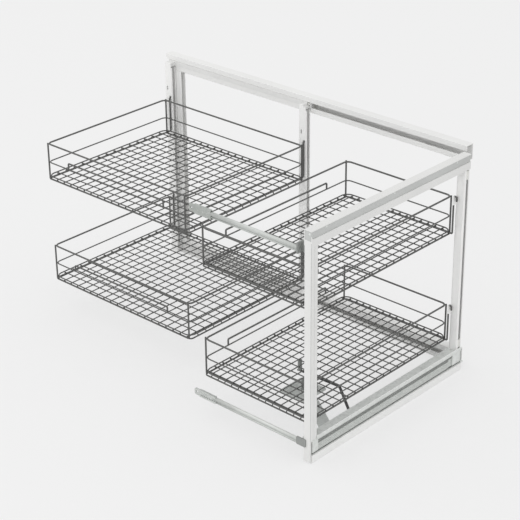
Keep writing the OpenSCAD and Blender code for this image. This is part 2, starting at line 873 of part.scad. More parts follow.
module front_lower_rim() {
    front_at(lower_rim) basket_rim(front_width, front_depth);
}

module front_lower_rails() {
    front_at(lower_rim) basket_rails(front_width, front_depth);
}

module front_lower_posts() {
    front_at(lower_rim) basket_posts(front_width, front_depth);
}

module front_lower_cradle() {
    front_at(lower_rim) basket_cradle(front_width, front_depth);
}

module front_lower_floor() {
    front_at(lower_rim) basket_floor(front_width, front_depth, front_cross_wires, front_long_wires);
}

module rear_upper_rim() {
    rear_at(upper_rim) basket_rim(rear_depth, rear_width);
}

module rear_upper_rails() {
    rear_at(upper_rim) basket_rails(rear_depth, rear_width);
}

module rear_upper_posts() {
    rear_at(upper_rim) basket_posts(rear_depth, rear_width);
}

module rear_upper_cradle() {
    rear_at(upper_rim) basket_cradle(rear_depth, rear_width);
}

module rear_upper_floor() {
    rear_at(upper_rim) basket_floor(rear_depth, rear_width, rear_cross_wires, rear_long_wires);
}

module rear_lower_rim() {
    rear_at(lower_rim) basket_rim(rear_depth, rear_width);
}

module rear_lower_rails() {
    rear_at(lower_rim) basket_rails(rear_depth, rear_width);
}

module rear_lower_posts() {
    rear_at(lower_rim) basket_posts(rear_depth, rear_width);
}

module rear_lower_cradle() {
    rear_at(lower_rim) basket_cradle(rear_depth, rear_width);
}

module rear_lower_floor() {
    rear_at(lower_rim) basket_floor(rear_depth, rear_width, rear_cross_wires, rear_long_wires);
}

guide_top();
guide_bottom();
guide_post_left();
guide_post_right();
base_strip();
runner_outer();
runner_stop();
runner_middle();
runner_inner();
carriage_front();
carriage_rear();
hinge_shaft();
frame_top_rail();
frame_rail_core();
frame_front_upright();
frame_rear_upright();
frame_floor_plate();
frame_floor_lip();
hinge_bush_lower();
hinge_bush_upper();
frame_rivets();
outrigger_hub();
outrigger_arm();
outrigger_crank();
outrigger_studs();
door_arm_upper();
door_arm_lower();
door_sleeve_upper();
door_sleeve_lower();
door_bracket_upper();
door_bracket_lower();
rear_upright_left();
rear_upright_right();
rear_slide_top();
rear_slide_bottom();
rear_glides();
front_upper_rim();
front_upper_rails();
front_upper_posts();
front_upper_cradle();
front_upper_floor();
front_lower_rim();
front_lower_rails();
front_lower_posts();
front_lower_cradle();
front_lower_floor();
rear_upper_rim();
rear_upper_rails();
rear_upper_posts();
rear_upper_cradle();
rear_upper_floor();
rear_lower_rim();
rear_lower_rails();
rear_lower_posts();
rear_lower_cradle();
rear_lower_floor();
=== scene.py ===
import bpy
import bmesh
import json
import math
from mathutils import Matrix, Vector


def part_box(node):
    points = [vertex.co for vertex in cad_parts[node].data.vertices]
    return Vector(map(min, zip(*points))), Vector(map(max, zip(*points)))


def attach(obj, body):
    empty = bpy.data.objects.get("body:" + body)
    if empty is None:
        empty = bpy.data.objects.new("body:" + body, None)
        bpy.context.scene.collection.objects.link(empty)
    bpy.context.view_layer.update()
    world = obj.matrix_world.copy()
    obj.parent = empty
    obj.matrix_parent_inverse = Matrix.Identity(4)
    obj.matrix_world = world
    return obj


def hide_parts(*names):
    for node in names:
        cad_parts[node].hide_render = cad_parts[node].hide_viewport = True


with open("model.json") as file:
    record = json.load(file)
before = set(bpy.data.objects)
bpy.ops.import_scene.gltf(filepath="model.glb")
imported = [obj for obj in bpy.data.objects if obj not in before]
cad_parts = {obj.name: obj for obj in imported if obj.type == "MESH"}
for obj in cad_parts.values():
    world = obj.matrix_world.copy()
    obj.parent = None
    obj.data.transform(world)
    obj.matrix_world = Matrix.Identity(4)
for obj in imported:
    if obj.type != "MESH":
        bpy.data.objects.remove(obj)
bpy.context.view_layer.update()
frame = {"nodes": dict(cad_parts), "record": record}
cadNodes = frame["nodes"]
scene = bpy.context.scene
print("frame loaded:", len(cadNodes), "nodes")

mm = 0.001

# camera

cameraView = {
    "place": (2.25829, -2.34415, 1.8264),
    "azimuth": 42.94,
    "elevation": 26.371,
    "roll": -0.608,
    "lens": 110.66,
    "sensor": 36.0,
    "clip": (0.05, 60.0),
}


def makeCamera(look):
    camera = bpy.data.objects.new("camera", bpy.data.cameras.new("camera"))
    scene.collection.objects.link(camera)
    azimuth, elevation, roll = (math.radians(look[k]) for k in ("azimuth", "elevation", "roll"))
    back = Vector((math.sin(azimuth) * math.cos(elevation),
                   -math.cos(azimuth) * math.cos(elevation), math.sin(elevation)))
    right = Vector((math.cos(azimuth), math.sin(azimuth), 0.0))
    up = back.cross(right)
    tiltedRight = right * math.cos(roll) + up * math.sin(roll)
    tiltedUp = up * math.cos(roll) - right * math.sin(roll)
    turn = Matrix((tiltedRight, tiltedUp, back)).transposed()
    camera.matrix_world = Matrix.Translation(look["place"]) @ turn.to_4x4()
    camera.data.lens = look["lens"]
    camera.data.sensor_width = look["sensor"]
    camera.data.clip_start, camera.data.clip_end = look["clip"]
    scene.camera = camera


makeCamera(cameraView)
print("camera set")

# shader node groups

# a Mix node's sockets go by number, because several of them share a name
mixShare = 0
mixNumbers = (2, 3)
mixColours = (6, 7)
mixNumberOut = 0
mixColourOut = 2


def newGroup(name, inputs, outputs):
    group = bpy.data.node_groups.new(name, "ShaderNodeTree")
    for label, kind, value in inputs:
        socket = group.interface.new_socket(name=label, in_out="INPUT", socket_type=kind)
        socket.default_value = value
    for label, kind in outputs:
        group.interface.new_socket(name=label, in_out="OUTPUT", socket_type=kind)
    start = group.nodes.new("NodeGroupInput")
    end = group.nodes.new("NodeGroupOutput")
    return group, start, end


def addNode(tree, kind, values=None, **settings):
    node = tree.nodes.new(kind)
    for key, value in settings.items():
        setattr(node, key, value)
    for key, value in (values or {}).items():
        node.inputs[key].default_value = value
    return node


# fine pebbled skin of a powder coat, with a slow drift of its level
def makeCoatGroup():
    group, start, end = newGroup(
        "powderCoatSkin",
        [("Grain Size", "NodeSocketFloat", 900.0), ("Drift Size", "NodeSocketFloat", 6.0)],
        [("Height", "NodeSocketFloat"), ("Drift", "NodeSocketFloat")],
    )
    link = group.links.new
    place = addNode(group, "ShaderNodeTexCoord")
    grain = addNode(group, "ShaderNodeTexNoise", {"Detail": 2.0, "Roughness": 0.45})
    drift = addNode(group, "ShaderNodeTexNoise", {"Detail": 3.0, "Roughness": 0.55})
    link(place.outputs["Object"], grain.inputs["Vector"])
    link(place.outputs["Object"], drift.inputs["Vector"])
    link(start.outputs["Grain Size"], grain.inputs["Scale"])
    link(start.outputs["Drift Size"], drift.inputs["Scale"])
    link(grain.outputs["Fac"], end.inputs["Height"])
    link(drift.outputs["Fac"], end.inputs["Drift"])
    return group


# long faint lines left by rolling, along the object's X, Y or Z as Stretch says
def makeRollGroup():
    group, start, end = newGroup(
        "rollingLines",
        [("Stretch", "NodeSocketVector", (400.0, 6.0, 400.0)),
         ("Softness", "NodeSocketFloat", 0.5)],
        [("Height", "NodeSocketFloat"), ("Streak", "NodeSocketFloat")],
    )
    link = group.links.new
    place = addNode(group, "ShaderNodeTexCoord")
    stretch = addNode(group, "ShaderNodeVectorMath", operation="MULTIPLY")
    lines = addNode(group, "ShaderNodeTexNoise", {"Scale": 1.0, "Detail": 4.0})
    link(place.outputs["Object"], stretch.inputs[0])
    link(start.outputs["Stretch"], stretch.inputs[1])
    link(stretch.outputs["Vector"], lines.inputs["Vector"])
    link(start.outputs["Softness"], lines.inputs["Roughness"])
    link(lines.outputs["Fac"], end.inputs["Height"])
    link(lines.outputs["Fac"], end.inputs["Streak"])
    return group


# mottled crystals of a zinc plating
def makeSpangleGroup():
    group, start, end = newGroup(
        "zincSpangle",
        [("Crystal Size", "NodeSocketFloat", 160.0)],
        [("Mottle", "NodeSocketFloat")],
    )
    link = group.links.new
    place = addNode(group, "ShaderNodeTexCoord")
    cells = addNode(group, "ShaderNodeTexVoronoi", feature="F1")
    cloud = addNode(group, "ShaderNodeTexNoise", {"Scale": 25.0, "Detail": 3.0})
    blend = addNode(group, "ShaderNodeMix", {mixShare: 0.5}, data_type="FLOAT")
    link(place.outputs["Object"], cells.inputs["Vector"])
    link(place.outputs["Object"], cloud.inputs["Vector"])
    link(start.outputs["Crystal Size"], cells.inputs["Scale"])
    link(cells.outputs["Distance"], blend.inputs[mixNumbers[0]])
    link(cloud.outputs["Fac"], blend.inputs[mixNumbers[1]])
    link(blend.outputs[mixNumberOut], end.inputs["Mottle"])
    return group


coatSkin = makeCoatGroup()
rollingLines = makeRollGroup()
zincSpangle = makeSpangleGroup()
print("node groups built")

# materials

maskSpan = (0.3, 0.7)  # noise masks lie mostly between these


def newMaterial(name):
    material = bpy.data.materials.new(name)
    material.use_nodes = True
    tree = material.node_tree
    tree.nodes.clear()
    shader = tree.nodes.new("ShaderNodeBsdfPrincipled")
    out = tree.nodes.new("ShaderNodeOutputMaterial")
    tree.links.new(shader.outputs["BSDF"], out.inputs["Surface"])
    return material, tree, shader


def remap(tree, source, fromSpan, toSpan):
    node = addNode(tree, "ShaderNodeMapRange", {
        "From Min": fromSpan[0], "From Max": fromSpan[1],
        "To Min": toSpan[0], "To Max": toSpan[1]})
    tree.links.new(source, node.inputs["Value"])
    return node.outputs["Result"]


def tint(tree, mask, look):
    node = addNode(tree, "ShaderNodeMix", {
        mixColours[0]: (*look["dark"], 1), mixColours[1]: (*look["light"], 1)}, data_type="RGBA")
    tree.links.new(remap(tree, mask, maskSpan, (0.0, 1.0)), node.inputs[mixShare])
    return node.outputs[mixColourOut]


def bump(tree, shader, height, depth, strength):
    node = addNode(tree, "ShaderNodeBump", {"Strength": strength, "Distance": depth})
    tree.links.new(height, node.inputs["Height"])
    tree.links.new(node.outputs["Normal"], shader.inputs["Normal"])


def useGroup(tree, group, values):
    node = tree.nodes.new("ShaderNodeGroup")
    node.node_tree = group
    for key, value in values.items():
        node.inputs[key].default_value = value
    return node


coatDepth = 0.05 * mm
coatLooks = {
    "frameWhite": {
        "dark": (0.71, 0.71, 0.70), "light": (0.76, 0.76, 0.75),
        "rough": (0.42, 0.52), "grain": 1400.0, "peel": 0.12},
    # the next two looks are paler copies of the frame white: painted light that lifts the shade on
    # the guide rails, posts, rear uprights and base strip
    "guideWhiteShadeLift": {
        "dark": (0.77, 0.77, 0.76), "light": (0.82, 0.82, 0.81),
        "rough": (0.42, 0.52), "grain": 1400.0, "peel": 0.12},
    "postWhiteShadeLift": {
        "dark": (0.84, 0.84, 0.83), "light": (0.89, 0.89, 0.88),
        "rough": (0.42, 0.52), "grain": 1400.0, "peel": 0.12},
    "wireGrey": {
        "dark": (0.085, 0.085, 0.082), "light": (0.115, 0.115, 0.111),
        "rough": (0.36, 0.48), "grain": 2200.0, "peel": 0.15},
    "steelBlack": {
        "dark": (0.030, 0.030, 0.031), "light": (0.045, 0.045, 0.046),
        "rough": (0.40, 0.50), "grain": 1800.0, "peel": 0.15},
    # a grey painted as shade: the rail core in its recess and the line down the front upright's
    # corner wear it
    "recessShadeGrey": {
        "dark": (0.48, 0.49, 0.48), "light": (0.55, 0.56, 0.55),
        "rough": (0.40, 0.50), "grain": 1600.0, "peel": 0.12},
    "bracketGrey": {
        "dark": (0.25, 0.26, 0.25), "light": (0.30, 0.31, 0.30),
        "rough": (0.38, 0.50), "grain": 1600.0, "peel": 0.15},
}


def coatedSteel(name):
    look = coatLooks[name]
    material, tree, shader = newMaterial(name)
    skin = useGroup(tree, coatSkin, {"Grain Size": look["grain"]})
    drift = skin.outputs["Drift"]
    tree.links.new(tint(tree, drift, look), shader.inputs["Base Color"])
    tree.links.new(remap(tree, drift, maskSpan, look["rough"]), shader.inputs["Roughness"])
    bump(tree, shader, skin.outputs["Height"], coatDepth, look["peel"])
    return material


rollBump = {"depth": 0.04 * mm, "strength": 0.25}
zincLooks = {
    "plateZinc": {
        "dark": (0.66, 0.68, 0.66), "light": (0.76, 0.78, 0.76), "rough": (0.38, 0.54),
        "crystal": 140.0, "stretch": (500.0, 8.0, 500.0), "metal": 0.25},
    "runnerZinc": {
        "dark": (0.56, 0.58, 0.56), "light": (0.64, 0.66, 0.64), "rough": (0.30, 0.46),
        "crystal": 220.0, "stretch": (500.0, 6.0, 500.0), "metal": 0.4},
    # dark zinc for the studs and the lower sleeve teeth, and also painted shade on the runner's
    # middle member and the strip under the lip
    "darkZincAndShade": {
        "dark": (0.20, 0.21, 0.20), "light": (0.28, 0.29, 0.28), "rough": (0.30, 0.44),
        "crystal": 220.0, "stretch": (500.0, 6.0, 500.0), "metal": 0.5},
    "armZinc": {
        "dark": (0.48, 0.50, 0.48), "light": (0.56, 0.58, 0.56), "rough": (0.32, 0.46),
        "crystal": 160.0, "stretch": (8.0, 500.0, 500.0), "metal": 0.35},
    "sleeveZinc": {
        "dark": (0.42, 0.44, 0.42), "light": (0.66, 0.68, 0.66), "rough": (0.30, 0.44),
        "crystal": 420.0, "stretch": (8.0, 500.0, 500.0), "metal": 0.35},
    "sleeveDark": {
        "dark": (0.36, 0.38, 0.36), "light": (0.44, 0.46, 0.44), "rough": (0.32, 0.46),
        "crystal": 220.0, "stretch": (8.0, 500.0, 500.0), "metal": 0.35},
    "hubZinc": {
        "dark": (0.52, 0.54, 0.525), "light": (0.61, 0.63, 0.61), "rough": (0.36, 0.50),
        "crystal": 180.0, "stretch": (8.0, 500.0, 500.0), "metal": 0.3},
    "shaftSteel": {
        "dark": (0.62, 0.63, 0.62), "light": (0.72, 0.73, 0.72), "rough": (0.26, 0.38),
        "crystal": 300.0, "stretch": (500.0, 500.0, 12.0), "metal": 0.25},
}


def zincSteel(name):
    look = zincLooks[name]
    material, tree, shader = newMaterial(name)
    shader.inputs["Metallic"].default_value = look["metal"]
    spangle = useGroup(tree, zincSpangle, {"Crystal Size": look["crystal"]})
    lines = useGroup(tree, rollingLines, {"Stretch": look["stretch"]})
    streak = lines.outputs["Streak"]
    tree.links.new(tint(tree, spangle.outputs["Mottle"], look), shader.inputs["Base Color"])
    tree.links.new(remap(tree, streak, maskSpan, look["rough"]), shader.inputs["Roughness"])
    bump(tree, shader, lines.outputs["Height"], rollBump["depth"], rollBump["strength"])
    return material


# painted light: a rolled piece takes a second, paler tint where its skin faces up, over a span of
# the normal's Z, as a painted highlight on its lit top
litTopLooks = {
    "lipZincHighlight": {"base": "plateZinc", "tint": (0.93, 0.94, 0.93), "rise": (0.3, 0.7)},
    "upperBarZincLitTop": {"base": "armZinc", "tint": (0.62, 0.64, 0.62), "rise": (-0.15, 0.75)},
    "lowerBarZincLitTop": {"base": "armZinc", "tint": (0.76, 0.78, 0.75), "rise": (-0.15, 0.75)},
}


def litTopSteel(name):
    look = litTopLooks[name]
    material = zincSteel(look["base"])
    material.name = name
    tree = material.node_tree
    shader = next(node for node in tree.nodes if node.type == "BSDF_PRINCIPLED")
    zincColour = shader.inputs["Base Color"].links[0].from_socket
    place = addNode(tree, "ShaderNodeTexCoord")
    split = addNode(tree, "ShaderNodeSeparateXYZ")
    mix = addNode(tree, "ShaderNodeMix", {mixColours[1]: (*look["tint"], 1)}, data_type="RGBA")
    tree.links.new(place.outputs["Normal"], split.inputs["Vector"])
    litFromAbove = remap(tree, split.outputs["Z"], look["rise"], (0.0, 1.0))
    tree.links.new(litFromAbove, mix.inputs[mixShare])
    tree.links.new(zincColour, mix.inputs[mixColours[0]])
    tree.links.new(mix.outputs[mixColourOut], shader.inputs["Base Color"])
    return material


nylonLook = {
    "dark": (0.70, 0.70, 0.67), "light": (0.78, 0.78, 0.75), "rough": (0.46, 0.58),
    "grain": 600.0, "drift": 30.0, "peel": 0.2, "depth": 0.1 * mm,
    "scatter": 0.08, "scatterReach": (2.0 * mm, 2.0 * mm, 1.8 * mm),
}


def mouldedNylon(look):
    material, tree, shader = newMaterial("mouldedNylon")
    skin = useGroup(tree, coatSkin, {"Grain Size": look["grain"], "Drift Size": look["drift"]})
    drift = skin.outputs["Drift"]
    tree.links.new(tint(tree, drift, look), shader.inputs["Base Color"])
    tree.links.new(remap(tree, drift, maskSpan, look["rough"]), shader.inputs["Roughness"])
    shader.inputs["Subsurface Weight"].default_value = look["scatter"]
    shader.inputs["Subsurface Radius"].default_value = look["scatterReach"]
    bump(tree, shader, skin.outputs["Height"], look["depth"], look["peel"])
    return material


finishes = {name: coatedSteel(name) for name in coatLooks}
finishes.update({name: zincSteel(name) for name in zincLooks})
finishes.update({name: litTopSteel(name) for name in litTopLooks})
finishes["nylonWhite"] = mouldedNylon(nylonLook)

# what the CAD nodes wear: their slot's finish, apart from these nodes
slotFinish = {
    "basket_wire": "wireGrey", "white_steel": "frameWhite", "zinc_steel": "plateZinc",
    "black_steel": "steelBlack", "nylon": "nylonWhite",
}
nodeFinish = {
    # the guides, posts, rear uprights and base strip wear paler copies of the frame white, painted
    # light that lifts their shade
    "guide_top": "guideWhiteShadeLift", "guide_bottom": "guideWhiteShadeLift", "base_strip": "postWhiteShadeLift",
    "guide_post_left": "postWhiteShadeLift", "guide_post_right": "postWhiteShadeLift",
    "frame_rear_upright": "postWhiteShadeLift",
    "rear_upright_left": "postWhiteShadeLift", "rear_upright_right": "postWhiteShadeLift",
    "outrigger_hub": "hubZinc", "outrigger_arm": "hubZinc", "outrigger_studs": "darkZincAndShade",
    # frame_rail_core wears grey painted shade of its recess; frame_floor_lip a painted highlight on
    # its top
    "hinge_shaft": "shaftSteel", "frame_rail_core": "recessShadeGrey", "frame_floor_lip": "lipZincHighlight",
    # runner_middle is darkened: painted shade in the gap between the outer and inner members
    "runner_outer": "runnerZinc", "runner_inner": "runnerZinc", "runner_middle": "darkZincAndShade",
    "door_arm_upper": "armZinc", "door_arm_lower": "armZinc",
    "door_sleeve_upper": "armZinc", "door_sleeve_lower": "armZinc",
    "door_bracket_upper": "bracketGrey", "door_bracket_lower": "bracketGrey",
}


def dressNodes():
    for part in frame["record"]["subparts"]:
        node = cadNodes[part["node"]]
        finish = nodeFinish.get(part["node"], slotFinish[part["material_slot"]])
        node.data.materials.clear()
        node.data.materials.append(finishes[finish])


# folded sheet steel gets a small soft edge that catches the light
foldedLook = {"merge": 0.002 * mm, "width": 0.35 * mm, "segments": 2, "angle": 40}
foldedNodes = [
    "guide_top", "guide_bottom", "base_strip", "runner_stop", "carriage_front", "carriage_rear",
    "frame_rail_core", "frame_floor_lip", "outrigger_hub", "outrigger_arm", "outrigger_crank",
    "door_bracket_upper", "door_bracket_lower", "rear_slide_top", "rear_slide_bottom",
]


def bevelEdges(piece, look):
    edge = piece.modifiers.new("edge", "BEVEL")
    edge.width = look["width"]
    edge.segments = look["segments"]
    edge.limit_method = "ANGLE"
    edge.angle_limit = math.radians(look["angle"])
    edge.harden_normals = True


def softenEdges(names, look):
    for name in names:
        # the bevel needs faces that share their corners
        weld = cadNodes[name].modifiers.new("weld", "WELD")
        weld.merge_threshold = look["merge"]
        bevelEdges(cadNodes[name], look)


dressNodes()
softenEdges(foldedNodes, foldedLook)
print("materials built")

# small shape helpers


def newPiece(name, shape, finish, body):
    mesh = bpy.data.meshes.new(name)
    shape.to_mesh(mesh)
    shape.free()
    piece = bpy.data.objects.new(name, mesh)
    scene.collection.objects.link(piece)
    mesh.materials.append(finishes[finish])
    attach(piece, body)
    return piece


def smoothFaces(shape, sharpAngle):
    for face in shape.faces:
        face.smooth = True
    for edge in shape.edges:
        if len(edge.link_faces) == 2 and edge.calc_face_angle(0.0) > math.radians(sharpAngle):
            edge.smooth = False


def finishShape(shape, sharpAngle):
    # faces turned outward, then smooth apart from the sharp edges
    bmesh.ops.recalc_face_normals(shape, faces=shape.faces)
    smoothFaces(shape, sharpAngle)


def bridgeRings(shape, low, high):
    for i in range(len(low)):
        j = (i + 1) % len(low)
        shape.faces.new((low[i], low[j], high[j], high[i]))


def stackRings(shape, rings):
    # a closed body from its rings, first to last
    for low, high in zip(rings, rings[1:]):
        bridgeRings(shape, low, high)
    shape.faces.new(list(reversed(rings[0])))
    shape.faces.new(rings[-1])


def extrudeOutline(shape, outline, start, run):
    # the outline's points are 3-D; its copy lies at start plus run, and both ends are closed
    ends = (start, start + run)
    stackRings(shape, [[shape.verts.new(end + point) for point in outline] for end in ends])


def circlePoints(radius, sides):
    turns = [2 * math.pi * i / sides for i in range(sides)]
    return [(radius * math.cos(turn), radius * math.sin(turn)) for turn in turns]


def arcPoints(centre, radius, fromAngle, toAngle, steps):
    turns = [math.radians(fromAngle + (toAngle - fromAngle) * i / steps) for i in range(steps + 1)]
    return [(centre[0] + radius * math.cos(turn), centre[1] + radius * math.sin(turn))
            for turn in turns]


# the baskets' floors: where the CAD has their wires

basketRows = {
    "front": {"body": "front_unit", "alongAxis": 0},
    "rear": {"body": "rear_unit", "alongAxis": 1},
}
floorWires = {
    "alongCount": 14, "crossCount": 18,
    "cradleInset": 9.02 * mm,  # from the ring's wire to the nearest cradle wire
    "ringWire": 3 * mm, "postWire": 4 * mm,
}


def basketBox(row, level, part):
    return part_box("%s_%s_%s" % (row, level, part))


def basketSpot(alongAxis, along, across, height):
    return Vector((along, across, height) if alongAxis == 0 else (across, along, height))


def wireMiddles(box, axis, wire):
    # middles of the outermost wires on one axis
    return box[0][axis] + wire / 2, box[1][axis] - wire / 2


def spacedWires(low, high, inset, count):
    pitch = (high - low - 2 * inset) / (count + 1)
    return [low + inset + i * pitch for i in range(1, count + 1)]


# spot welds where the floor wires cross

weldLook = {
    "radius": 1.75 * mm, "height": 1.1 * mm, "sides": 8,
    "profile": ((0.75, -0.6), (1.0, 0.0), (0.75, 0.6)),  # shares of radius and height
}


def addBead(shape, centre, look):
    # a low bead between the two layers of wire
    rings = []
    for share, level in look["profile"]:
        rings.append([shape.verts.new(centre + Vector((x, y, look["height"] * level)))
                      for x, y in circlePoints(look["radius"] * share, look["sides"])])
    stackRings(shape, rings)


def makeWelds(row, level, body, alongAxis):
    floorBox = basketBox(row, level, "floor")
    ringBox = basketBox(row, level, "rails")
    height = (floorBox[0][2] + floorBox[1][2]) / 2
    alongEnds = wireMiddles(ringBox, alongAxis, floorWires["ringWire"])
    acrossEnds = wireMiddles(ringBox, 1 - alongAxis, floorWires["ringWire"])
    shape = bmesh.new()
    for along in spacedWires(*alongEnds, 0.0, floorWires["alongCount"]):
        for across in spacedWires(*acrossEnds, floorWires["cradleInset"], floorWires["crossCount"]):
            addBead(shape, basketSpot(alongAxis, along, across, height), weldLook)
    smoothFaces(shape, sharpAngle=60)
    newPiece("welds_%s_%s" % (row, level), shape, "wireGrey", body)


for row, basket in basketRows.items():
    for level in ("upper", "lower"):
        makeWelds(row, level, basket["body"], basket["alongAxis"])
print("weld spots made")

# base bars: they close the U frames to a loop under the ring, and the floor wires run down to them

baseLook = {
    "radius": 1.75 * mm, "corner": 8 * mm, "cornerSteps": 6, "sides": 10,
    "endRadius": 1.3 * mm, "endSides": 6,
    "endTop": (4.6 * mm, 0.0),  # bent-down end: inward from the ring, and down from its wire
    "endBend": (4.0 * mm, 2.2 * mm),
    "endFoot": 0.8 * mm,  # inward from the ring, where the end meets the bar
    "sunk": 1.0 * mm,  # the ends stop this far above the bar's middle, inside it
}


def sweepWire(shape, points, radius, sides):
    # a round wire through the points, closed at both ends
    rings = []
    for k, point in enumerate(points):
        ahead = (points[min(k + 1, len(points) - 1)] - points[max(k - 1, 0)]).normalized()
        across = ahead.orthogonal() if k == 0 else across - ahead * across.dot(ahead)
        across.normalize()
        other = ahead.cross(across)
        rings.append([shape.verts.new(point + across * x + other * y)
                      for x, y in circlePoints(radius, sides)])
    stackRings(shape, rings)


def makeBaseBars(row, level, body, alongAxis):
    look = baseLook
    postBox = basketBox(row, level, "posts")
    ringBox = basketBox(row, level, "rails")
    floorBox = basketBox(row, level, "floor")
    barZ = postBox[0][2] + floorWires["postWire"] / 2
    footZ = barZ + look["sunk"]
    upperZ = floorBox[1][2] - look["endRadius"]
    lowerZ = floorBox[0][2] + look["endRadius"]
    postEnds = wireMiddles(postBox, alongAxis, floorWires["postWire"])
    alongEnds = wireMiddles(ringBox, alongAxis, floorWires["ringWire"])
    acrossEnds = wireMiddles(ringBox, 1 - alongAxis, floorWires["ringWire"])
    corner = look["corner"]
    bend = arcPoints((corner, corner), corner, 180, 270, look["cornerSteps"])
    shape = bmesh.new()
    for side, inward in zip(acrossEnds, (1, -1)):
        bar = [(postEnds[0] + du, side + inward * dv) for du, dv in bend]
        bar += [(postEnds[1] - du, side + inward * dv) for du, dv in reversed(bend)]
        line = [basketSpot(alongAxis, along, across, barZ) for along, across in bar]
        sweepWire(shape, line, look["radius"], look["sides"])
        # bent-down ends of the upper floor wires
        for along in spacedWires(*alongEnds, 0.0, floorWires["alongCount"]):
            drop = [(dv, upperZ - dz) for dv, dz in (look["endTop"], look["endBend"])]
            drop.append((look["endFoot"], footZ))
            end = [basketSpot(alongAxis, along, side + inward * dv, z) for dv, z in drop]
            sweepWire(shape, end, look["endRadius"], look["endSides"])
    # bent-down ends of the lower floor wires
    for across in spacedWires(*acrossEnds, floorWires["cradleInset"], floorWires["crossCount"]):
        for post, ring in zip(postEnds, alongEnds):
            end = [basketSpot(alongAxis, ring, across, lowerZ),
                   basketSpot(alongAxis, post, across, footZ)]
            sweepWire(shape, end, look["endRadius"], look["endSides"])
    finishShape(shape, sharpAngle=50)
    newPiece("base_bars_%s_%s" % (row, level), shape, "wireGrey", body)


for row, basket in basketRows.items():
    for level in ("upper", "lower"):
        makeBaseBars(row, level, basket["body"], basket["alongAxis"])
print("base bars made")

# door arms: a rolled bar and a pressed sleeve with an eye stand for the plain CAD solids

# each bar's finish carries a painted highlight where its skin faces up
doorArmLooks = {
    "upper": {"half": 10.5 * mm, "eyeHalf": 9.0 * mm, "teeth": 3, "toothHalf": 1.0 * mm,
              "toothLevel": 0.0, "finish": "sleeveDark", "toothFinish": "sleeveZinc",
              "barFinish": "upperBarZincLitTop"},
    "lower": {"half": 8.5 * mm, "eyeHalf": 8.0 * mm, "teeth": 9, "toothHalf": 1.4 * mm,
              "toothLevel": -2.8 * mm, "finish": "sleeveZinc", "toothFinish": "darkZincAndShade",
              "barFinish": "lowerBarZincLitTop"},
}
barLook = {
    "half": 6.7 * mm, "bulge": 3.0 * mm, "rim": 1.4 * mm, "flange": 3.6 * mm,
    "groove": 1.0 * mm,  # height of the groove between crown and flange
    "steps": 10,
}
sleeveLook = {
    "eyeFromEnd": 16 * mm,  # the eye's middle from the outer end of the CAD sleeve
    "fromEye": 8 * mm, "length": 48 * mm, "wall": 1.7 * mm,
    "tongue": 9 * mm,  # the bar reaches this far into the sleeve
    "edge": {"width": 0.5 * mm, "segments": 2, "angle": 35},
}
eyeLook = {
    "hole": 3.2 * mm, "holeSteps": 12, "reach": 7 * mm, "corner": 4 * mm, "cornerSteps": 4,
    "root": 2 * mm,  # the tab starts this far inside the sleeve
}
toothLook = {
    "rise": 0.6 * mm, "width": 2.4 * mm, "sunk": 0.5 * mm,
    "first": 0.9, "spare": 0.8,  # in tooth pitches: the first tooth's place, and what is left free
}


def makeBar(level, eyeX, armBox, finish):
    back = armBox[1][1]
    face = armBox[0][1] + barLook["rim"]
    inside, outside = face + barLook["rim"], face - barLook["rim"]
    z = (armBox[0][2] + armBox[1][2]) / 2
    low, high = z - barLook["half"], z + barLook["half"]
    step = low + barLook["flange"]
    crown = (high - step) / 2
    outline = [(back, low), (back, high)]
    for i in range(barLook["steps"] + 1):
        swing = math.pi * i / barLook["steps"]
        outline.append((face - barLook["bulge"] * math.sin(swing),
                        step + crown + crown * math.cos(swing)))
    outline += [(inside, step), (inside, step - barLook["groove"]),
                (outside, step - barLook["groove"]), (outside, low)]
    startX = eyeX + sleeveLook["fromEye"] + sleeveLook["length"] - sleeveLook["tongue"]
    shape = bmesh.new()
    extrudeOutline(shape, [Vector((0, y, height)) for y, height in outline],
                   Vector((startX, 0, 0)), Vector((armBox[1][0] - startX, 0, 0)))
    smoothFaces(shape, sharpAngle=40)
    bar = newPiece("rolled_bar_%s" % level, shape, finish, "front_unit")
    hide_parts("door_arm_%s" % level)


def rectangle(y0, y1, z0, z1):
    return [(y0, z0), (y1, z0), (y1, z1), (y0, z1)]


def addTube(shape, x0, x1, y0, y1, z0, z1, wall):
    # an outer and an inner rectangle with closed rims
    outlines = (rectangle(y0, y1, z0, z1),
                rectangle(y0 + wall, y1 - wall, z0 + wall, z1 - wall))
    outerStart, innerStart, outerEnd, innerEnd = (
        [shape.verts.new((x, y, z)) for y, z in outline] for x in (x0, x1) for outline in outlines)
    bridgeRings(shape, outerStart, outerEnd)
    bridgeRings(shape, innerStart, innerEnd)
    bridgeRings(shape, outerStart, innerStart)
    bridgeRings(shape, outerEnd, innerEnd)


def addEyeTab(shape, eyeX, z, rootX, half, armBox):
    # a plate with rounded outer corners and a round hole
    look = eyeLook
    corner, steps = look["corner"], look["holeSteps"]
    cornerX = eyeX - look["reach"] + corner
    outline = [(rootX, z - half)]
    outline += arcPoints((cornerX, z - half + corner), corner, 270, 180, look["cornerSteps"])
    outline += arcPoints((cornerX, z + half - corner), corner, 180, 90, look["cornerSteps"])
    outline.append((rootX, z + half))
    hole = arcPoints((eyeX, z), look["hole"], 0, 360 - 360 / steps, steps - 1)
    sides = []
    for y in (armBox[0][1], armBox[1][1]):
        rings = [[shape.verts.new((x, y, height)) for x, height in ring]
                 for ring in (outline, hole)]
        edges = [shape.edges.new((ring[i], ring[(i + 1) % len(ring)]))
                 for ring in rings for i in range(len(ring))]
        bmesh.ops.triangle_fill(shape, edges=edges, use_beauty=True)
        sides.append(rings)
    for front, back in zip(*sides):
        bridgeRings(shape, front, back)


